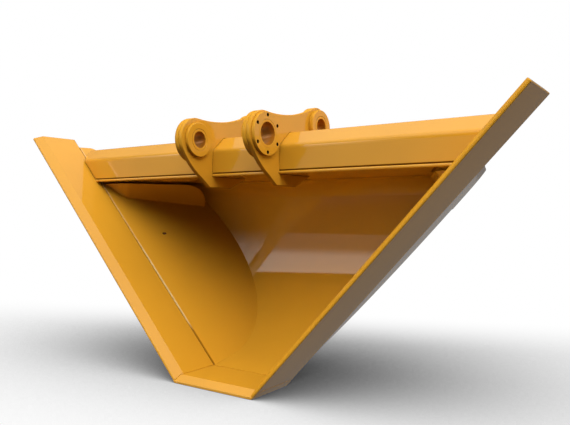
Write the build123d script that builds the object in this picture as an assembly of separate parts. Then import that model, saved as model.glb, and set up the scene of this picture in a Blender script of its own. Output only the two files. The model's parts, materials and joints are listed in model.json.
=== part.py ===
from build123d import *
import math
import os

# Trapezoidal ditch bucket: a weldment of separate plates. X runs across the bucket, +Y goes
# back from the cutting edge, +Z is up. Millimetres. It is drawn with Y = 0 at the cutting edge
# and moved at the end, so that the origin is the middle of the footprint, on the ground.

# cutting frame
BOTTOM_WIDTH = 400.0     # outside, at the sharp edge on the ground
TOP_WIDTH = 2400.0       # outside, at the tips of the side cutters
SLOPE = 46.9             # side slope from the horizontal, degrees
EDGE_T = 30.0            # lip and side cutter plate
EDGE_DEPTH = 232.0       # lip and side cutter width, front to back
CUTTER_BEVEL = 42.0
LIP_BEVEL = 34.0
NOSE = 10.0              # blunt land at the front of the bevels
PREP = 4.0               # weld groove chamfer along the rear inner edges

# shell
SHEET = 12.0             # side plates and wrapper
TAPER = 16.0             # side plates close in towards the back, degrees in plan
LEAD_RUN = 104.5         # flat floor behind the lip
LEAD_RISE = 12.76        # its slope, degrees
SHELL_R = 570.0          # inside radius of the rolled wrapper
TOP_BEND_R = 110.0       # inside radius of the bend into the top panel
PANEL_Z = 855.0          # underside of the top panel
DRAIN_R = 6.5            # hole in each side plate
DRAIN_BACK = 166.0       # behind the side cutter
DRAIN_Z = 595.0

# torque beam: a folded cover over the front of the top panel
BEAM_T = 12.0
BEAM_OVERLAP = 32.0      # front face ahead of the side cutters' rear edge
BEAM_DEPTH = 96.0
BEAM_FOLD = 101.0        # height of the front face above the panel
BEAM_RISE = 39.5         # slope of the upper face, degrees
LEG_PREP = 5.0           # weld groove under the front leg
PANEL_NOSE = 3.0         # the panel's front edge stands ahead of the beam by this much
PANEL_NOSE_R = 5.0
FOLD_R = 30.0            # outside bend radii
CREST_R = 16.0
HUMP_MARGIN = 13.0       # the side plate stands above the beam by this much
HUMP_BACK = 28.0         # and behind it by this much
HUMP_R = 40.0
END_GROOVE = 8.0         # weld groove at the beam ends

# hinge plates
EAR_GAP = 336.0          # between the inner faces
EAR_T = 20.0
STICK_OUT = 98.0         # pin that carries the bucket, ahead of the beam
STICK_UP = 138.0         # and above the panel
PIN_PITCH = 385.0        # back to the pin of the tipping link
LINK_UP = 207.0          # link pin above the panel
EAR_NOSE_R = 93.0
EAR_TAIL_R = 85.0
EAR_DIP_R = 680.0        # concave upper edge between the bosses
EAR_CHIN = 215.0         # where the nose arc ends, degrees
EAR_HEEL = 12.0          # the rear edge runs out by this much at the panel
EAR_TOE = 16.0           # toe in front of the beam
EAR_JAW = 48.0           # depth below the top panel
EAR_JAW_FLAT = 120.0     # lower edge level to here behind the beam's front, then its run-out
EAR_JAW_LEAD = 110.0
EAR_SHIN_Y = 55.0        # straight run up from the toe
EAR_SHIN_Z = 41.0
EAR_THROAT_SAG = 8.4     # hollow of the curve between shin and nose

# round pads on the left faces and raised rings on the right faces of the hinge plates,
# with a bush through each stack that stands out past the pad
PIN_R = 35.0
ADJUST_R = 45.0          # wider bore on the adjuster side
BUSH_WALL = 10.0
BUSH_STAND = 14.0
PAD_T = 20.0
RING_R = 72.5
ADJUST_RING_R = 85.0
STICK_RING_T = 16.0
LINK_RING_T = 20.0
BOLT_PCD = 145.0
BOLT_R = 7.0
BOLT_COUNT = 6

# corner stiffening
GUSSET_T = 10.0
GUSSET_CORNER = 4.0      # front tip behind the side cutter
GUSSET_HEAD_Y = 25.0     # front of the fold on the panel, behind the side cutter
GUSSET_HEAD_LEG = 142.0
GUSSET_FOOT_Y = 74.0     # front of the fold on the side plate
GUSSET_FOOT_DROP = 82.0
GUSSET_REAR_Y = 496.0    # drop of the rear end on the side plate
GUSSET_REAR_DROP = 123.0
GUSSET_TOP_GAP = 8.0     # upper edge below the panel
GUSSET_END_GAP = 30.0    # rear end in front of the wrapper's back
GUSSET_END_R = 198.0     # its rounded upper corner
GUSSET_BEND_R = 60.0     # outside radius of the fold
DOUBLER_T = 6.0
DOUBLER_DROP = 143.0     # depth below the top panel
DOUBLER_SET = 30.0       # behind the side cutter
DOUBLER_GAP = 55.0       # rear edge in front of the wrapper's back
DOUBLER_R = 30.0

# fillet welds
WELD_LEG = 8.0
WELD_STOP = 20.0         # bare length at the ends of a weld

FAR = 3000.0             # reach of the cutting blocks

slope = math.radians(SLOPE)
cot = math.cos(slope) / math.sin(slope)
tan_taper = math.tan(math.radians(TAPER))
rise = math.radians(BEAM_RISE)
up_slope = Vector(math.cos(slope), 0, math.sin(slope))
inward = Vector(-math.sin(slope), 0, math.cos(slope))
corner = Vector(BOTTOM_WIDTH / 2, 0, 0)
side_root = corner + inward * EDGE_T + Vector(0, EDGE_DEPTH, 0)
side_out = Vector(1, tan_taper, -cot).normalized()
cutter_out = inward * -1

# side view of the shell: a short flat behind the lip, the roll, the top bend and the panel
lead_slope = math.radians(LEAD_RISE)
roll = (
    EDGE_DEPTH + LEAD_RUN * math.cos(lead_slope) - SHELL_R * math.sin(lead_slope),
    EDGE_T + LEAD_RUN * math.sin(lead_slope) + SHELL_R * math.cos(lead_slope))
roll_start = LEAD_RISE - 90
bend_reach = SHELL_R - TOP_BEND_R
roll_end = math.degrees(math.asin((PANEL_Z - TOP_BEND_R - roll[1]) / bend_reach))
panel_top = PANEL_Z + SHEET
rear_y = roll[0] + SHELL_R + SHEET

# side view of the beam and the pins
beam_front = EDGE_DEPTH - BEAM_OVERLAP
beam_rear = beam_front + BEAM_DEPTH
panel_front = beam_front - PANEL_NOSE
fold_z = panel_top + BEAM_FOLD
crest_z = fold_z + BEAM_DEPTH * math.tan(rise)
stick = (beam_front - STICK_OUT, panel_top + STICK_UP)
link = (stick[0] + PIN_PITCH, panel_top + LINK_UP)


def half_space(point, normal):
    """Large block on the side of a plane that its normal points to."""
    return slab(point, normal, FAR)


def slab(point, normal, thickness):
    block = Box(2 * FAR, 2 * FAR, thickness, align=(Align.CENTER, Align.CENTER, Align.MIN))
    return Plane(origin=point, z_dir=normal) * block


def flip(shape):
    return mirror(shape, about=Plane.YZ)


def both_sides(shape):
    return [shape, flip(shape)]


def polar(centre, radius, degrees):
    a = math.radians(degrees)
    return (centre[0] + radius * math.cos(a), centre[1] + radius * math.sin(a))


def bearing(start, end):
    return math.degrees(math.atan2(end[1] - start[1], end[0] - start[0]))


def arc(centre, radius, start, end):
    """Arc in the side view from one angle to another."""
    middle = polar(centre, radius, (start + end) / 2)
    return ThreePointArc(polar(centre, radius, start), middle, polar(centre, radius, end))


def block_face(y0, z0, y1, z1):
    return Pos(y0, z0) * Rectangle(y1 - y0, z1 - z0, align=(Align.MIN, Align.MIN))


def across(section, half_width=FAR / 2):
    """Extrudes a side view across the bucket."""
    return extrude(Plane.YZ * section, half_width, both=True)


def along_x(section, start, length):
    return extrude(Plane.YZ.offset(start) * section, length)


def round_bar(spot, radius, start, length):
    """Bar along X about a point of the side view."""
    return Pos(start, *spot) * Rot(0, 90, 0) * Cylinder(
        radius, length, align=(Align.CENTER, Align.CENTER, Align.MIN))


def hull_section(gap=0.0):
    """Side view of the bucket's inside, grown outwards by a gap."""
    bend = polar(roll, bend_reach, roll_end)
    start = (EDGE_DEPTH, EDGE_T - gap / math.cos(lead_slope))
    top = PANEL_Z + gap
    return make_face([
        Line(start, polar(roll, SHELL_R + gap, roll_start)),
        arc(roll, SHELL_R + gap, roll_start, roll_end),
        arc(bend, TOP_BEND_R + gap, roll_end, 90),
        Line((bend[0], top), (EDGE_DEPTH, top)),
        Line((EDGE_DEPTH, top), start)])


def wrapper_section():
    panel = block_face(panel_front, PANEL_Z, beam_rear, panel_top)
    nose = [panel.vertices().sort_by_distance((panel_front, z, 0))[0] for z in (PANEL_Z, panel_top)]
    return hull_section(SHEET) + fillet(nose, PANEL_NOSE_R) - hull_section()


def side_section():
    top = crest_z - CREST_R + HUMP_MARGIN
    back = beam_rear + HUMP_BACK
    hump = block_face(EDGE_DEPTH, PANEL_Z - SHEET, back, top)
    crown = hump.vertices().sort_by_distance((back, top, 0))[0]
    return hull_section() + fillet(crown, HUMP_R)


def side_x(y, z):
    """X of the right side plate's inner face."""
    return side_root.X + cot * (z - side_root.Z) - tan_taper * (y - side_root.Y)


def side_plate():
    plate = across(side_section()) & slab(side_root, side_out, SHEET)
    plate = plate & half_space((0, 0, 0), (1, 0, 0))
    drain_y = EDGE_DEPTH + DRAIN_BACK
    spot = Vector(side_x(drain_y, DRAIN_Z), drain_y, DRAIN_Z)
    drill = Plane(origin=spot, z_dir=side_out) * Cylinder(DRAIN_R, 4 * SHEET)
    return plate - drill


def wrapper(side, edge):
    shell = across(wrapper_section())
    for trim in (half_space(side_root + side_out * SHEET, side_out), side, edge):
        for block in both_sides(trim):
            shell = shell - block
    return shell


def edge_profile(bevel):
    return make_face(Polyline(
        (0, 0), (EDGE_DEPTH, 0), (EDGE_DEPTH, EDGE_T - PREP), (EDGE_DEPTH - PREP, EDGE_T),
        (bevel, EDGE_T), (0, NOSE), close=True))


def side_cutter():
    """Bar up the slope, its lower end shaped to the lip that it stands on."""
    run_in = EDGE_T * 2
    length = (TOP_WIDTH - BOTTOM_WIDTH) / 2 / math.cos(slope)
    start = Plane(origin=corner - up_slope * run_in, x_dir=(0, 1, 0), z_dir=up_slope)
    bar = extrude(start * edge_profile(CUTTER_BEVEL), length + run_in, dir=up_slope)
    cope = make_face(Polyline(
        (0, -run_in), (0, NOSE), (LIP_BEVEL, EDGE_T), (EDGE_DEPTH, EDGE_T), (EDGE_DEPTH, -run_in),
        close=True))
    return bar - across(cope)


def lip():
    """Bar across the bottom, its ends flush with the outer faces of the side cutters."""
    bar = across(edge_profile(LIP_BEVEL), BOTTOM_WIDTH)
    for block in both_sides(half_space(corner, cutter_out)):
        bar = bar - block
    return bar


def beam_bends(box, front, rear, fold, crest, inset):
    box = fillet(box.vertices().sort_by_distance((front, fold, 0))[0], FOLD_R - inset)
    return fillet(box.vertices().sort_by_distance((rear, crest, 0))[0], CREST_R - inset)


def beam_block():
    """Side view of the whole box beam, which stands on the panel."""
    box = make_face(Polyline(
        (beam_front, panel_top + LEG_PREP), (beam_front, fold_z), (beam_rear, crest_z),
        (beam_rear, panel_top), (beam_front + LEG_PREP, panel_top), close=True))
    return beam_bends(box, beam_front, beam_rear, fold_z, crest_z, 0)


def beam_hollow(inset):
    """Side view of what the box beam holds, its faces moved in by an inset."""
    front = beam_front + inset
    rear = beam_rear - inset
    fold = fold_z - inset / math.cos(rise) + inset * math.tan(rise)
    crest = fold + (rear - front) * math.tan(rise)
    box = make_face(Polyline(
        (front, panel_top), (front, fold), (rear, crest), (rear, panel_top), close=True))
    return beam_bends(box, front, rear, fold, crest, inset)


def inside(shape, gap=0.0):
    """Keeps what lies between the side plates and between the cutters, less a gap at each end."""
    for normal in (side_out, cutter_out):
        for block in both_sides(half_space(side_root - normal * gap, normal)):
            shape = shape - block
    return shape


def beam_cover():
    cover = inside(across(beam_block() - beam_hollow(BEAM_T)))
    skin = across(beam_block() - beam_hollow(BEAM_T / 2))
    skin = skin - half_space((0, 0, panel_top), (0, 0, -1))
    return cover - (skin - inside(skin, END_GROOVE))


def ear_outline():
    # centre of the concave arc that touches both bosses
    to_nose = EAR_NOSE_R + EAR_DIP_R
    to_tail = EAR_TAIL_R + EAR_DIP_R
    span = math.dist(stick, link)
    opening = math.degrees(math.acos((span**2 + to_nose**2 - to_tail**2) / (2 * span * to_nose)))
    dip = polar(stick, to_nose, bearing(stick, link) + opening)
    heel = (link[0] + EAR_TAIL_R + EAR_HEEL, panel_top)
    flat_end = beam_front + EAR_JAW_FLAT
    jaw_end = flat_end + EAR_JAW_LEAD
    toe = (beam_front - EAR_TOE, PANEL_Z - EAR_JAW)
    shin = (toe[0] - EAR_SHIN_Y, toe[1] + EAR_SHIN_Z)
    outline = make_face([
        arc(stick, EAR_NOSE_R, EAR_CHIN, bearing(stick, dip)),
        arc(dip, EAR_DIP_R, bearing(dip, stick), bearing(dip, link)),
        arc(link, EAR_TAIL_R, bearing(link, dip), 0),
        Line(polar(link, EAR_TAIL_R, 0), heel),
        Line(heel, (jaw_end, panel_top)),
        Line((jaw_end, panel_top), (jaw_end, PANEL_Z)),
        Line((jaw_end, PANEL_Z), (flat_end, toe[1])),
        Line((flat_end, toe[1]), toe),
        Line(toe, shin),
        SagittaArc(shin, polar(stick, EAR_NOSE_R, EAR_CHIN), EAR_THROAT_SAG)])
    return outline - beam_block() - wrapper_section()


def hinge(side, face):
    """One hinge plate whose right face lies at the given X, with its pads, rings and bushes."""
    adjust = side == "right"
    ear = along_x(ear_outline(), face - EAR_T, EAR_T)
    back = face - EAR_T - PAD_T
    pieces = {}
    bores = (
        ("stick_pin", stick, ADJUST_R if adjust else PIN_R, EAR_NOSE_R,
         ADJUST_RING_R if adjust else RING_R, STICK_RING_T),
        ("link_pin", link, PIN_R, EAR_TAIL_R, RING_R, LINK_RING_T))
    for name, spot, bore_r, pad_r, ring_r, ring_t in bores:
        depth = BUSH_STAND + PAD_T + EAR_T + ring_t
        seat = round_bar(spot, bore_r + BUSH_WALL, back - BUSH_STAND, depth)
        ring = round_bar(spot, ring_r, face, ring_t) - seat
        ear = ear - seat
        if adjust and name == "stick_pin":
            for k in range(BOLT_COUNT):
                hole = polar(spot, BOLT_PCD / 2, 90 + 360 * k / BOLT_COUNT)
                drill = round_bar(hole, BOLT_R, face - EAR_T, EAR_T + ring_t)
                ring = ring - drill
                ear = ear - drill
        pieces[name + "_pad_" + side] = round_bar(spot, pad_r, back, PAD_T) - seat
        pieces[name + "_ring_" + side] = ring
        pieces[name + "_bush_" + side] = seat - round_bar(spot, bore_r, back - BUSH_STAND, depth)
    pieces["hinge_plate_" + side] = ear
    return pieces


def on_side(y_back, drop):
    """Point on the right side plate's inner face, behind the cutter and below the panel."""
    y = EDGE_DEPTH + y_back
    z = PANEL_Z - drop
    return Vector(side_x(y, z), y, z)


def sheet_between(a, b, c, towards):
    """Slab of gusset plate through three points, on the side of a fourth, and the space beyond."""
    normal = (b - a).cross(c - a).normalized()
    if normal.dot(towards - a) < 0:
        normal = normal * -1
    return slab(a, normal, GUSSET_T), half_space(a, normal)


def corner_gusset():
    """Bent plate across the corner between side plate and panel: a long leaf and a front leaf."""
    tip = on_side(GUSSET_CORNER, 0)
    head = on_side(GUSSET_HEAD_Y, 0) - Vector(GUSSET_HEAD_LEG, 0, 0)
    foot = on_side(GUSSET_FOOT_Y, GUSSET_FOOT_DROP)
    rear = on_side(GUSSET_REAR_Y, GUSSET_REAR_DROP)
    long_leaf, behind_long = sheet_between(head, foot, rear, on_side(GUSSET_REAR_Y, 0))
    front_leaf, behind_front = sheet_between(head, foot, tip, on_side(GUSSET_REAR_Y, 0))
    end, top = roll[0] + SHELL_R - GUSSET_END_GAP, PANEL_Z - GUSSET_TOP_GAP
    outline = block_face(EDGE_DEPTH, 0, end, top)
    outline = fillet(outline.vertices().sort_by_distance((end, top, 0))[0], GUSSET_END_R)
    room = across(outline) - half_space(side_root, side_out)
    plate = (long_leaf & behind_front & room) + (front_leaf & behind_long & room)
    outer, inner = plate.edges().sort_by_distance((head + foot) * 0.5)[:2]
    plate = fillet(outer, GUSSET_BEND_R)
    inner = plate.edges().sort_by_distance(inner.center())[0]
    return fillet(inner, GUSSET_BEND_R - GUSSET_T)


def corner_doubler():
    front = EDGE_DEPTH + DOUBLER_SET
    low = PANEL_Z - DOUBLER_DROP
    outline = Pos(-DOUBLER_GAP, 0) * hull_section(SHEET) & block_face(front, low, rear_y, panel_top)
    ends = [outline.vertices().sort_by_distance((front, z, 0))[0] for z in (low, panel_top)]
    outline = fillet(ends, DOUBLER_R)
    return across(outline) & slab(side_root + side_out * SHEET, side_out, DOUBLER_T) & half_space(
        (0, 0, 0), (1, 0, 0))


def cutter_weld():
    """Bead between the rear face of the side cutter and the outer face of the side plate."""
    back = Vector(0, 1, 0) - side_out * side_out.Y
    root = side_root + cutter_out * (SHEET / side_out.dot(cutter_out))
    start = root + up_slope * WELD_STOP
    bead = make_face(Polyline(
        start, start + cutter_out * WELD_LEG, start + back.normalized() * WELD_LEG, close=True))
    length = (crest_z - CREST_R - root.Z) / math.sin(slope) - 2 * WELD_STOP
    return extrude(bead, length, dir=up_slope)


def lip_weld():
    """Bead under the floor, behind the lip."""
    root = Vector(EDGE_DEPTH, EDGE_T - SHEET / math.cos(lead_slope))
    along = Vector(math.cos(lead_slope), math.sin(lead_slope)) * WELD_LEG
    bead = make_face(Polyline(root, root + along, root - Vector(0, WELD_LEG), close=True))
    return across(bead, BOTTOM_WIDTH / 2 - EDGE_T - WELD_STOP)


def beam_weld(ears):
    """Beads behind the beam on the top panel, between the hinge plates and beside them."""
    bead = make_face(Polyline(
        (beam_rear, panel_top), (beam_rear + WELD_LEG, panel_top), (beam_rear, panel_top + WELD_LEG),
        close=True))
    bead = inside(across(bead))
    for plate in ears:
        bead = bead - plate
    return bead


def ear_welds():
    """Beads along both faces of each hinge plate, on the top panel behind the beam."""
    start = beam_rear + WELD_STOP
    length = link[0] + EAR_TAIL_R - start
    beads = []
    for face, way in ((EAR_GAP / 2, -1), (EAR_GAP / 2 + EAR_T, 1)):
        corner_line = Vector(face, start, panel_top)
        bead = make_face(Polyline(
            corner_line, corner_line + Vector(way * WELD_LEG, 0, 0),
            corner_line + Vector(0, 0, WELD_LEG), close=True))
        beads += both_sides(extrude(bead, length, dir=(0, 1, 0)))
    return Compound(beads)


right_side = side_plate()
right_cutter = side_cutter()
nodes = {
    "wrapper_shell": wrapper(right_side, right_cutter),
    "bottom_cutting_edge": lip(),
    "torque_beam_cover": beam_cover(),
}
nodes.update(hinge("left", -EAR_GAP / 2))
nodes.update(hinge("right", EAR_GAP / 2 + EAR_T))
paired = {
    "side_plate": right_side,
    "side_cutter": right_cutter,
    "corner_gusset": corner_gusset(),
    "corner_doubler": corner_doubler(),
    "cutter_weld": cutter_weld(),
}
for name, shape in paired.items():
    nodes[name + "_right"] = shape
    nodes[name + "_left"] = flip(shape)
nodes["lip_weld"] = lip_weld()
nodes["beam_weld"] = beam_weld([nodes["hinge_plate_left"], nodes["hinge_plate_right"]])
nodes["hinge_plate_welds"] = ear_welds()

os.makedirs("parts", exist_ok=True)
for name, shape in nodes.items():
    placed = Pos(0, -rear_y / 2, 0) * shape
    placed.label = name
    export_step(placed, "parts/" + name + ".step")
    print(name, len(placed.solids()), "solids", round(placed.volume / 1000), "cm3")
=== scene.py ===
import json
import math

import bmesh
import bpy
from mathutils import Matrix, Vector

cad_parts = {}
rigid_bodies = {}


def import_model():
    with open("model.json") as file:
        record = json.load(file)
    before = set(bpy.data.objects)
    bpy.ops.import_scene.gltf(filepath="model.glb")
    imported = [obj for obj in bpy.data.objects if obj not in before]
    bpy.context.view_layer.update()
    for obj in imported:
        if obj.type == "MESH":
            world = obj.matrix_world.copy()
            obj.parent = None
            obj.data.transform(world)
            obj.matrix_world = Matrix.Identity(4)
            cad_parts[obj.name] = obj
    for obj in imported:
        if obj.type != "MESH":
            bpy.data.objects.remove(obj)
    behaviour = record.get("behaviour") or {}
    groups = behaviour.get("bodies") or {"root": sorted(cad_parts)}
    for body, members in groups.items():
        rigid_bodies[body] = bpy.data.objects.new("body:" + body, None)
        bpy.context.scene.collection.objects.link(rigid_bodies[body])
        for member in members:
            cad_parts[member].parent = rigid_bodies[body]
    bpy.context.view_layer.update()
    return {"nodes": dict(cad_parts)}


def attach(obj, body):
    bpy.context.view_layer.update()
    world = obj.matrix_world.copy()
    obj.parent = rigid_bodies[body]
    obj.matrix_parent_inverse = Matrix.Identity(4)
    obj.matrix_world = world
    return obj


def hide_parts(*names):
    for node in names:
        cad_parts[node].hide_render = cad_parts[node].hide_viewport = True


for leftover in list(bpy.data.objects):
    bpy.data.objects.remove(leftover)

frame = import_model()
nodes = frame["nodes"]

MM = 0.001
WHITE = (1.0, 1.0, 1.0, 1.0)

# camera, level, at the height of the beam's underside
CAMERA_PLACE = (1.6269, -2.1952, 0.700)
CAMERA_TURN = 35.213      # degrees from straight ahead
CAMERA_LENS = 38.85
SENSOR_WIDTH = 36.0

# light on the matt paint; turns are degrees from straight in front of the mouth, towards its right side
KEY_TURN = 48.0
KEY_RISE = 48.5
KEY_LIGHT = 2.9
KEY_SPREAD = 0.72         # cosine at which it ends
KEY_FOOT = (15.0, 33.0)   # it fades in from the first rise to the second
SKY_LIGHT = 0.65
BACK_LIGHT = 0.9
BACK_TOP = (40.0, 60.0)
LOW_PANEL_LIGHT = 1.25    # the panel at the front left lights matt paint most from its foot
LOW_PANEL_TOP_LIGHT = 0.5
DIFFUSE_BOUNCES = 1

# studio that the gloss mirrors
MIRROR_KEY_TURN = 42.0
MIRROR_KEY_RISE = 62.0
MIRROR_KEY_LIGHT = 1.44
MIRROR_KEY_SPREAD = 0.3
MIRROR_KEY_FOOT = (14.0, 40.0)
MIRROR_SKY = (0.2, 0.75)  # at the horizon and overhead
MIRROR_SKY_RISE = (25.0, 65.0)
MIRROR_SKY_END = (0.4, 0.9)  # it fades out towards the key, between these cosines
SIDE_LIGHT = 0.42
SIDE_TOP = (20.0, 45.0)
PANEL_LIGHT = 2.7         # bright upper part of the panel
PANEL_DIM = 0.55          # and its lower part
PANEL_STEP = (9.0, 17.0)  # rise where one turns into the other
PANEL_FOOT = (-8.0, 0.0)
PANEL_TOP = (28.0, 28.6)
GAP_TOP = (36.0, 38.5)    # dark gap above the panel

# soft left and right ends of those lights
LOW_FRONT = ((-20.0, -5.0), (60.0, 90.0))
LOW_FRONT_TOP = (15.0, 45.0)
SIDE = ((60.0, 95.0), (140.0, 170.0))
PANEL = ((-70.0, -50.0), (-24.0, -8.0))
GAP = ((-68.0, -60.0), (-16.0, -4.0))
BACK = ((130.0, 170.0), (-150.0, -100.0))

# floor and its shadow
FLOOR_SIZE = 60.0
FLOOR_GLOSS = 0.29        # how bright the paint mirrors it behind the bucket
FLOOR_NEAR_GLOSS = 0.03   # and in front of it
GLOSS_FADE = (-1.2, -0.2)
FLOOR_BOUNCE = 0.07       # how bright the floor is to light that it throws back
SHADOW_TURN = 30.0        # where the light that casts it comes from
SHADOW_RISE = 50.0
SHADOW_REACH = 2.6
SHADOW_DEPTH = 2.5
FADE_TURN = -161.5        # the shadow fades out behind the bucket
FADE = (0.58, 1.63)

# rounding of the plates' edges, mm, by the words in a node's name
BOLTED = "stick_pin_ring_right"
EDGE_ROUND = {
    "cutting_edge": 2.5, "cutter": 4.0, "hinge_plate": 4.0, BOLTED: 1.0, "ring": 3.0, "pad": 4.0,
    "bush": 1.5, "torque_beam": 3.0, "gusset": 3.0, "doubler": 3.0}
EDGE_STEPS = 3
EDGE_ANGLE = 34.0         # edges that turn more than this are rounded
JOIN_GAP = 0.02           # mm, closes the frame's split edges
FLAT_ANGLE = 0.35         # facets that turn less than this are one face

# paint
SLOPE = 46.9              # of the mouth's sides
YELLOW = (0.86, 0.40, 0.028)
WELD_YELLOW = (0.826, 0.384, 0.027)
# painted shade in the beam's foot groove and in the drain holes
SHADED_YELLOW = (0.17, 0.055, 0.002)
HALF_SHADE_YELLOW = (0.47, 0.19, 0.010)  # painted shade on rims that look down and in the seam of the side plates
# near black painted shade in the bolt holes and on the pad faces seen through them
HOLE_SHADE = (0.02, 0.011, 0.006)
# painted highlight along the side plates' seam, brighter low down
EDGE_HIGHLIGHT_TONE = (0.95, 0.53, 0.15)
EDGE_GLINT_TONE = (1.0, 0.70, 0.30)
EDGE_BAND = 6.0           # mm of the side plates' front edges painted with shade and highlight along the seam
EDGE_DARK = (0.16, 0.24)  # below this height, m, the band keeps only its painted shade
EDGE_GLINT_HEIGHT = (0.50, 0.58)  # and up to this one its painted highlight is brighter
DRAIN_PLACE = (672.4, 4.2, 591.0)  # mm, middle of the hole in the right plate; the left one mirrors it
DRAIN_REACH = 9.0         # mm from there
# amber tone of the bore walls, the steel's own darkened by painted shade
BORE_SHADED_TONE = (0.53, 0.195, 0.014)
DRIFT_SCALE = 2.1         # tone drifts slowly, by this much to both sides
DRIFT = 0.03
ROUGH_SCALE = 38.0
PAINT_ROUGH = (0.42, 0.55)
PEEL_SCALE = 240.0        # orange peel
PEEL_STRENGTH = 0.06
PEEL_HEIGHT = 0.4         # mm
GRAIN_SCALE = (6.0, 300.0, 300.0)  # along the bar and across it
GRAIN_STRENGTH = 0.03
GRAIN_HEIGHT = 0.3        # mm
COAT_ROUGHNESS = 0.045
SATIN_COAT = 0.2          # thinner gloss on the hinges' rims and the right cutter's bevel
BORE_COAT = 0.45
BORE_COAT_ROUGHNESS = 0.25
BORE_ROUGH = (0.32, 0.48)
BORE_METAL = 0.3
TOOL_SCALE = 260.0        # rings left by the boring tool
TOOL_STRENGTH = 0.1
TOOL_HEIGHT = 0.2         # mm
BOLT_PCD = 145.0          # mm
BOLT_REACH = 10.0         # mm to both sides of that circle

# weld beads, mm
RIPPLE = 5.0              # from one ripple to the next
RIPPLE_HEIGHT = 0.5
WANDER = 0.3              # the ripples grow and shrink by this share
WANDER_LENGTH = 57.0
BEAD_BULGE = 1.3
BEAD_ACROSS = 8
BEAD_ALONG = 5            # rings of points in a ripple
BEAD_END = 7.0            # length of its rounded ends
BEAD_TIP = 0.45           # share of its size left at the very end
BEAD_LAG = 0.45           # ripples trail at the toes by this share


def heading(turn, rise):
    """Unit vector towards a place in the studio."""
    turn, rise = math.radians(turn), math.radians(rise)
    level = math.cos(rise)
    return Vector((level * math.sin(turn), -level * math.cos(turn), math.sin(rise)))


class Graph:
    """Short names for building a node tree."""

    def __init__(self, owner, output):
        owner.use_nodes = True
        self.owner = owner
        self.tree = owner.node_tree
        self.tree.nodes.clear()
        self.output = self.tree.nodes.new(output)

    def link(self, source, target):
        """Joins a socket, or sets a plain value, on a target socket."""
        if isinstance(source, bpy.types.NodeSocket):
            self.tree.links.new(source, target)
        else:
            target.default_value = source

    def node(self, kind, inputs=None, **settings):
        made = self.tree.nodes.new(kind)
        for key, value in settings.items():
            setattr(made, key, value)
        for key, value in (inputs or {}).items():
            self.link(value, made.inputs[key])
        return made

    def math(self, operation, *values):
        return self.node("ShaderNodeMath", dict(enumerate(values)), operation=operation).outputs[0]

    def times(self, first, *others):
        for other in others:
            first = self.math("MULTIPLY", first, other)
        return first

    def plus(self, first, *others):
        for other in others:
            first = self.math("ADD", first, other)
        return first

    def ramp(self, value, low, high, start=0.0, end=1.0):
        """Smooth step of a value from one level to another."""
        ends = {"Value": value, "From Min": low, "From Max": high, "To Min": start, "To Max": end}
        return self.node("ShaderNodeMapRange", ends, interpolation_type="SMOOTHSTEP").outputs[0]

    def between(self, value, rising, falling):
        """1 between two soft edges, each given as a pair of levels."""
        return self.times(self.ramp(value, *rising), self.ramp(value, *falling, 1.0, 0.0))

    def dot(self, first, second):
        made = self.node("ShaderNodeVectorMath", {0: first, 1: second}, operation="DOT_PRODUCT")
        return made.outputs["Value"]

    def blend(self, factor, first, second):
        """Goes from one number to another."""
        made = self.node("ShaderNodeMix", {"Factor": factor}, data_type="FLOAT")
        self.link(first, made.inputs[2])
        self.link(second, made.inputs[3])
        return made.outputs[0]

    def mix(self, factor, first, second):
        """Goes from one colour to another."""
        made = self.node("ShaderNodeMix", {"Factor": factor}, data_type="RGBA")
        self.link(first, made.inputs[6])
        self.link(second, made.inputs[7])
        return made.outputs[2]

    def noise(self, place, scale, detail=2.0):
        made = self.node("ShaderNodeTexNoise", {"Vector": place, "Scale": scale, "Detail": detail})
        return made.outputs["Fac"]

    def cloud(self, place, scale, detail=2.0, start=0.0, end=1.0):
        """Noise stretched to run from one value to another."""
        return self.ramp(self.noise(place, scale, detail), 0.3, 0.7, start, end)

    def bump(self, height, strength, distance, under=None):
        made = self.node("ShaderNodeBump", {"Height": height, "Strength": strength, "Distance": distance})
        if under is not None:
            self.link(under, made.inputs["Normal"])
        return made.outputs[0]

    def place(self):
        return self.node("ShaderNodeTexCoord").outputs["Object"]

    def facing(self, axis):
        """How much the surface faces along an axis."""
        normal = self.node("ShaderNodeNewGeometry").outputs["Normal"]
        return self.node("ShaderNodeSeparateXYZ", {0: normal}).outputs[axis]


def material(name):
    return Graph(bpy.data.materials.new(name), "ShaderNodeOutputMaterial")


def shaded(tone, share=1.0):
    """A colour made darker or lighter."""
    return tuple(share * c for c in tone) + (1.0,)


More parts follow.
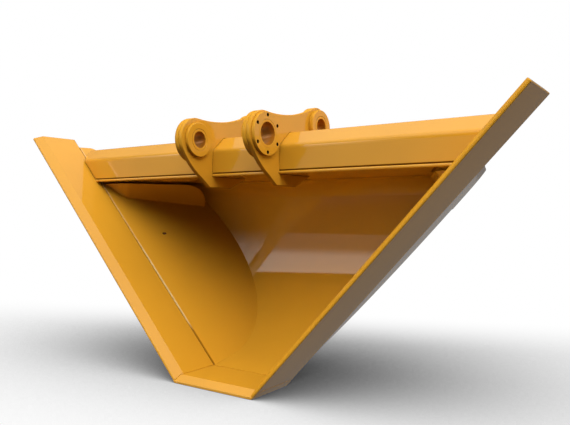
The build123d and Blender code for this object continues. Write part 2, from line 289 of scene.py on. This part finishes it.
def paint(name, tone=YELLOW, grain_turn=None, satin=None, painted_light=()):
    """Sprayed gloss paint with a slow drift of tone and fine orange peel.

    The bars have rolled grain under it, a function says where there is less gloss, and pairs of a
    function and a tone say where shade or highlight is painted into the colour."""
    g = material(name)
    place = g.place()
    drift = g.cloud(place, DRIFT_SCALE, 3.0)
    tone = g.mix(drift, shaded(tone, 1 - DRIFT), shaded(tone, 1 + DRIFT))
    # painted shade and painted highlight laid over the paint's own tone
    for where, painted_tone in painted_light:
        tone = g.mix(where(g), tone, shaded(painted_tone))
    rough = g.cloud(place, ROUGH_SCALE, 2.0, *PAINT_ROUGH)
    peel = g.noise(place, PEEL_SCALE, 1.0)
    normal = g.bump(peel, PEEL_STRENGTH, PEEL_HEIGHT * MM)
    if grain_turn is not None:
        turn = (0.0, math.radians(grain_turn), 0.0)
        bar = g.node("ShaderNodeMapping", {"Vector": place, "Rotation": turn}).outputs[0]
        stretched = g.node("ShaderNodeMapping", {"Vector": bar, "Scale": GRAIN_SCALE}).outputs[0]
        grain = g.noise(stretched, 1.0, 3.0)
        normal = g.bump(grain, GRAIN_STRENGTH, GRAIN_HEIGHT * MM, normal)
    coat = 1.0
    if satin is not None:
        coat = g.blend(satin(g), 1.0, SATIN_COAT)
    shader = g.node("ShaderNodeBsdfPrincipled", {
        "Base Color": tone, "Roughness": rough, "Specular IOR Level": 0.0, "Normal": normal,
        "Coat Weight": coat, "Coat Roughness": COAT_ROUGHNESS})
    g.link(shader.outputs["BSDF"], g.output.inputs["Surface"])
    return g.owner


def rims(g):
    """Rims of the hinge plates and of the discs on them."""
    return g.ramp(g.math("ABSOLUTE", g.facing(0)), 0.9, 0.6)


def front_faces(g):
    """Bevel and nose at the front of a cutter."""
    return g.ramp(g.facing(1), -0.15, -0.35)


def under_faces(g):
    """Faces that look down, such as the weld groove at the foot of the beam; they get painted shade."""
    return g.ramp(g.facing(2), -0.2, -0.5)


def drain_hole(g):
    """Wall of the small hole in each side plate, painted dark as shade."""
    mirrored = g.node("ShaderNodeVectorMath", {0: g.place()}, operation="ABSOLUTE").outputs[0]
    middle = Vector(DRAIN_PLACE) * MM
    reach = g.node("ShaderNodeVectorMath", {0: mirrored, 1: middle}, operation="DISTANCE").outputs["Value"]
    return g.ramp(reach, DRAIN_REACH * MM, (DRAIN_REACH - 0.5) * MM)


def front_edge(g):
    """Band along a side plate's front edge, in the groove behind the cutter, painted in shade."""
    front = min(corner[1] for corner in nodes["side_plate_left"].bound_box)
    back = g.node("ShaderNodeSeparateXYZ", {0: g.place()}).outputs[1]
    return g.ramp(back, front + EDGE_BAND * MM, front + (EDGE_BAND - 1.0) * MM)


def open_edge(g):
    """The part of that band above the groove's foot, painted as a highlight."""
    height = g.node("ShaderNodeSeparateXYZ", {0: g.place()}).outputs[2]
    return g.times(front_edge(g), g.ramp(height, *EDGE_DARK))


def glint_edge(g):
    """The part of that painted highlight that is brighter."""
    height = g.node("ShaderNodeSeparateXYZ", {0: g.place()}).outputs[2]
    return g.times(open_edge(g), g.ramp(height, *EDGE_GLINT_HEIGHT, 1.0, 0.0))


def contact_faces(g):
    """Faces that a pad presses on its plate; they show only through the bolt holes, where they are painted
    near black as shade.
    """
    return g.ramp(g.facing(0), 0.9, 0.99)


def bolt_holes(g):
    """Walls of the bolt holes about the right stick pin, painted near black as shade."""
    corners = [Vector(corner) for corner in nodes[BOLTED].bound_box]
    middle = sum(corners, Vector()) / len(corners)
    offset = g.node("ShaderNodeVectorMath", {0: g.place(), 1: middle}, operation="SUBTRACT").outputs[0]
    flat = g.node("ShaderNodeVectorMath", {0: offset, 1: (0.0, 1.0, 1.0)}, operation="MULTIPLY").outputs[0]
    reach = g.node("ShaderNodeVectorMath", {0: flat}, operation="LENGTH").outputs["Value"]
    ring = BOLT_PCD / 2
    inner = (ring - BOLT_REACH) * MM
    outer = (ring + BOLT_REACH) * MM
    on_circle = g.between(reach, (inner, inner + MM), (outer - MM, outer))
    return g.times(on_circle, g.ramp(g.math("ABSOLUTE", g.facing(0)), 0.6, 0.4))


def bored_steel(name):
    """Bored steel with the tool's rings; its amber tone is the steel's own darkened by painted shade of the
    bore; the end faces took the paint.
    """
    g = material(name)
    place = g.place()
    painted = g.ramp(g.math("ABSOLUTE", g.facing(0)), 0.35, 0.6)
    tool = {"Vector": place, "Scale": TOOL_SCALE, "Distortion": 0.6, "Detail": 2.0}
    rings = g.node("ShaderNodeTexWave", tool, bands_direction="X").outputs["Fac"]
    cloud = g.cloud(place, 30.0, 3.0)
    tone = g.mix(cloud, shaded(BORE_SHADED_TONE, 0.85), shaded(BORE_SHADED_TONE, 1.15))
    tone = g.mix(painted, tone, shaded(YELLOW))
    rough = g.ramp(cloud, 0.0, 1.0, *BORE_ROUGH)
    metal = g.ramp(painted, 0.0, 1.0, BORE_METAL, 0.0)
    normal = g.bump(rings, TOOL_STRENGTH, TOOL_HEIGHT * MM)
    shader = g.node("ShaderNodeBsdfPrincipled", {
        "Base Color": tone, "Metallic": metal, "Roughness": rough, "Specular IOR Level": 0.0,
        "Normal": normal, "Coat Weight": BORE_COAT, "Coat Roughness": BORE_COAT_ROUGHNESS})
    g.link(shader.outputs["BSDF"], g.output.inputs["Surface"])
    return g.owner


def round_edges(node, width):
    """Rounds a plate's edges without changing the frame's mesh."""
    join = node.modifiers.new("join", "WELD")
    join.merge_threshold = JOIN_GAP * MM
    if node.name != BOLTED:
        merge = node.modifiers.new("merge", "DECIMATE")
        merge.decimate_type = "DISSOLVE"
        merge.angle_limit = math.radians(FLAT_ANGLE)
    bevel = node.modifiers.new("round", "BEVEL")
    bevel.width = width * MM
    bevel.segments = EDGE_STEPS
    bevel.limit_method = "ANGLE"
    bevel.angle_limit = math.radians(EDGE_ANGLE)
    bevel.use_clamp_overlap = False
    bevel.harden_normals = True


def islands(mesh):
    """Corners of each separate solid in a mesh."""
    left = set(mesh.verts)
    while left:
        island = set()
        front = [left.pop()]
        while front:
            corner = front.pop()
            island.add(corner)
            others = [edge.other_vert(corner) for edge in corner.link_edges]
            front += [other for other in others if other not in island]
        left -= island
        yield island


def widest_corner(triangle):
    """The corner of a triangle with the largest angle."""
    def opening(corner):
        one, two = (other - corner for other in triangle if other != corner)
        return one.angle(two)
    return max(triangle, key=opening)


def fillets(node):
    """Start and end triangle of each straight fillet in a weld node, root corner first."""
    mesh = bmesh.new()
    mesh.from_mesh(node.data)
    bmesh.ops.remove_doubles(mesh, verts=mesh.verts[:], dist=JOIN_GAP * MM)
    found = []
    for island in islands(mesh):
        edges = {edge for corner in island for edge in corner.link_edges}
        longest = max(edges, key=lambda edge: edge.calc_length())
        run = (longest.verts[1].co - longest.verts[0].co).normalized()
        ordered = sorted((corner.co.copy() for corner in island), key=run.dot)
        start, end = ordered[:3], ordered[3:]
        root = widest_corner(start)
        start = [root] + [point for point in start if point != root]

        def opposite(point):
            return min(end, key=lambda far: (far - point).cross(run).length)
        found.append((start, [opposite(point) for point in start]))
    mesh.free()
    return found


def bead_outline(corners, run, length):
    """Points round a bead at one place along it; run and length in mm."""
    root, toe, other = corners
    close = max(0.0, min(run, length - run, BEAD_END)) / BEAD_END
    size = BEAD_TIP + (1 - BEAD_TIP) * math.sqrt(close * (2 - close))
    height = RIPPLE_HEIGHT * (1 + WANDER * math.sin(math.tau * run / WANDER_LENGTH))
    out = ((toe + other) / 2 - root).normalized()
    points = [root]
    for j in range(BEAD_ACROSS + 1):
        across = j / BEAD_ACROSS
        phase = run / RIPPLE + BEAD_LAG * (2 * across - 1) ** 2
        ripple = height * (1 - phase % 1.0) ** 2
        crown = math.sqrt(max(0.0, 4 * across * (1 - across)))
        point = toe.lerp(other, across) + out * (BEAD_BULGE + ripple) * crown * MM
        points.append(root + (point - root) * size)
    return points


def bead(name, node, finish):
    """Rippled weld bead in place of a weld node's straight fillets."""
    mesh = bmesh.new()
    for start, end in fillets(node):
        length = (end[0] - start[0]).length / MM
        steps = max(2, round(length / RIPPLE * BEAD_ALONG))
        rings = []
        for k in range(steps + 1):
            corners = [a.lerp(b, k / steps) for a, b in zip(start, end)]
            points = bead_outline(corners, length * k / steps, length)
            rings.append([mesh.verts.new(point) for point in points])
        for a, b in zip(rings, rings[1:]):
            for j in range(len(a)):
                mesh.faces.new((a[j - 1], a[j], b[j], b[j - 1]))
        mesh.faces.new(rings[0])
        mesh.faces.new(list(reversed(rings[-1])))
    bmesh.ops.recalc_face_normals(mesh, faces=mesh.faces[:])
    for face in mesh.faces:
        face.smooth = len(face.verts) == 4
    data = bpy.data.meshes.new(name)
    mesh.to_mesh(data)
    mesh.free()
    data.materials.append(finish)
    piece = bpy.data.objects.new(name, data)
    bpy.context.scene.collection.objects.link(piece)
    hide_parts(node.name)
    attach(piece, "root")


def floor():
    """White floor that keeps the shadow of the key light and throws little light back."""
    bpy.ops.mesh.primitive_plane_add(size=FLOOR_SIZE)
    plane = bpy.context.object
    plane.name = "floor"
    g = material("floor")
    lean = g.node("ShaderNodeCombineXYZ", dict(enumerate(heading(SHADOW_TURN, SHADOW_RISE)))).outputs[0]
    reach = {"Distance": SHADOW_REACH, "Normal": lean}
    shade = g.node("ShaderNodeAmbientOcclusion", reach, samples=16).outputs["AO"]
    spot = g.node("ShaderNodeNewGeometry").outputs["Position"]
    behind = g.dot(spot, heading(FADE_TURN, 0.0))
    bright = g.blend(g.ramp(behind, *FADE), g.math("POWER", shade, SHADOW_DEPTH), 1.0)
    path = g.node("ShaderNodeLightPath").outputs
    seen = g.math("MAXIMUM", path["Is Camera Ray"], path["Is Transmission Ray"])
    strength = g.times(bright, g.math("MAXIMUM", seen, FLOOR_BOUNCE))
    mirrored = g.ramp(behind, *GLOSS_FADE, FLOOR_NEAR_GLOSS, FLOOR_GLOSS)
    mirrored = g.times(mirrored, g.ramp(shade, 0.0, 0.15), path["Is Glossy Ray"])
    strength = g.math("MAXIMUM", strength, mirrored)
    light = g.node("ShaderNodeEmission", {"Color": WHITE, "Strength": strength})
    g.link(light.outputs[0], g.output.inputs["Surface"])
    plane.data.materials.append(g.owner)


class Studio(Graph):
    """The world's light, by turn and rise."""

    def __init__(self):
        world = bpy.data.worlds.new("studio")
        bpy.context.scene.world = world
        super().__init__(world, "ShaderNodeOutputWorld")
        self.look = self.node("ShaderNodeTexCoord").outputs["Generated"]
        across, back, self.height = self.node("ShaderNodeSeparateXYZ", {0: self.look}).outputs
        angle = self.math("ARCTAN2", across, self.times(back, -1.0))
        self.turn = self.times(angle, math.degrees(1.0))

    def rising(self, rises, start=0.0, end=1.0):
        low, high = (math.sin(math.radians(rise)) for rise in rises)
        return self.ramp(self.height, low, high, start, end)

    def falling(self, rises):
        return self.rising(rises, 1.0, 0.0)

    def beyond(self, value):
        return self.math("SUBTRACT", 1.0, value)

    def near(self, turn, rise):
        return self.dot(self.look, heading(turn, rise))

    def sky_mask(self):
        """The sky is dark low in front."""
        return self.beyond(self.times(self.between(self.turn, *LOW_FRONT), self.falling(LOW_FRONT_TOP)))

    def panel_mask(self):
        """Upright panel at the front left."""
        upright = self.times(self.rising(PANEL_FOOT), self.falling(PANEL_TOP))
        return self.times(upright, self.between(self.turn, *PANEL))

    def matt(self):
        """Light on the matt paint: key, even sky, the panel's foot and a low light behind."""
        key = self.ramp(self.near(KEY_TURN, KEY_RISE), KEY_SPREAD, 1.0)
        key = self.times(key, self.rising(KEY_FOOT), KEY_LIGHT)
        sky = self.times(self.sky_mask(), SKY_LIGHT)
        panel = self.times(self.panel_mask(), self.rising(PANEL_STEP, LOW_PANEL_LIGHT, LOW_PANEL_TOP_LIGHT))
        behind = self.plus(self.ramp(self.turn, *BACK[0]), self.ramp(self.turn, *BACK[1], 1.0, 0.0))
        behind = self.times(behind, self.falling(BACK_TOP), BACK_LIGHT)
        return self.plus(key, sky, panel, behind)

    def mirrored(self):
        """What the gloss shows: key, sky, side light and the panel with a dark gap above it."""
        near_key = self.near(MIRROR_KEY_TURN, MIRROR_KEY_RISE)
        key = self.ramp(near_key, MIRROR_KEY_SPREAD, 1.0)
        key = self.times(key, self.rising(MIRROR_KEY_FOOT), MIRROR_KEY_LIGHT)
        sky = self.times(self.sky_mask(), self.rising(MIRROR_SKY_RISE, *MIRROR_SKY))
        sky = self.times(sky, self.ramp(near_key, *MIRROR_SKY_END, 1.0, 0.0))
        side = self.times(self.between(self.turn, *SIDE), self.falling(SIDE_TOP), SIDE_LIGHT)
        gap = self.times(self.between(self.turn, *GAP), self.falling(GAP_TOP))
        panel = self.times(self.panel_mask(), self.rising(PANEL_STEP, PANEL_DIM, PANEL_LIGHT))
        return self.plus(self.times(self.plus(key, sky, side), self.beyond(gap)), panel)

    def finish(self):
        path = self.node("ShaderNodeLightPath").outputs
        light = self.blend(path["Is Glossy Ray"], self.matt(), self.mirrored())
        seen = self.math("MAXIMUM", path["Is Camera Ray"], path["Is Transmission Ray"])
        strength = self.blend(seen, light, 1.0)
        back = self.node("ShaderNodeBackground", {"Color": WHITE, "Strength": strength})
        self.link(back.outputs[0], self.output.inputs["Surface"])


def camera():
    data = bpy.data.cameras.new("camera")
    data.sensor_width = SENSOR_WIDTH
    data.sensor_fit = "HORIZONTAL"
    data.lens = CAMERA_LENS
    made = bpy.data.objects.new("camera", data)
    bpy.context.scene.collection.objects.link(made)
    made.location = CAMERA_PLACE
    made.rotation_euler = (math.radians(90.0), 0.0, math.radians(CAMERA_TURN))
    bpy.context.scene.camera = made


def dress(node, finish, width):
    node.data.materials.clear()
    node.data.materials.append(finish)
    if width:
        round_edges(node, width)


# finishes by the words in a node's name, the first that fits
yellow = paint("yellow_paint")
weld = paint("weld_paint", WELD_YELLOW)
# painted shade on the hinges' rims that look down, and near black painted shade in the bolt holes and on
# the pad faces seen through them
bolted = paint("bolted_paint", satin=rims, painted_light=[(under_faces, HALF_SHADE_YELLOW), (bolt_holes, HOLE_SHADE)])
hinge = paint("hinge_paint", satin=rims, painted_light=[(under_faces, HALF_SHADE_YELLOW)])
finishes = {
    "bush": bored_steel("bush_steel"),
    "pad": paint("pad_paint", satin=rims, painted_light=[
        (under_faces, HALF_SHADE_YELLOW), (contact_faces, HOLE_SHADE)]),
    BOLTED: bolted,
    "hinge_plate_right": bolted,
    "hinge_plate_left": hinge,
    "ring": hinge,
    # painted shade and highlight along the seam behind each cutter, and painted shade in the drain hole
    "side_plate": paint("side_paint", painted_light=[
        (front_edge, HALF_SHADE_YELLOW), (open_edge, EDGE_HIGHLIGHT_TONE), (glint_edge, EDGE_GLINT_TONE),
        (drain_hole, SHADED_YELLOW)]),
    # painted shade on faces that look down, in the groove at the beam's foot
    "torque_beam": paint("beam_paint", painted_light=[(under_faces, SHADED_YELLOW)]),
    "cutting_edge": paint("lip_paint", grain_turn=0.0),
    "side_cutter_left": paint("cutter_paint_left", grain_turn=-SLOPE),
    "side_cutter_right": paint("cutter_paint_right", grain_turn=SLOPE, satin=front_faces)}
for name, node in sorted(nodes.items()):
    if "weld" in name:
        bead(name.replace("weld", "bead"), node, weld)
    else:
        finish = next((made for word, made in finishes.items() if word in name), yellow)
        width = next((size for word, size in EDGE_ROUND.items() if word in name), None)
        dress(node, finish, width)
floor()
Studio().finish()
camera()
bpy.context.scene.view_settings.view_transform = "Standard"
bpy.context.scene.cycles.diffuse_bounces = DIFFUSE_BOUNCES
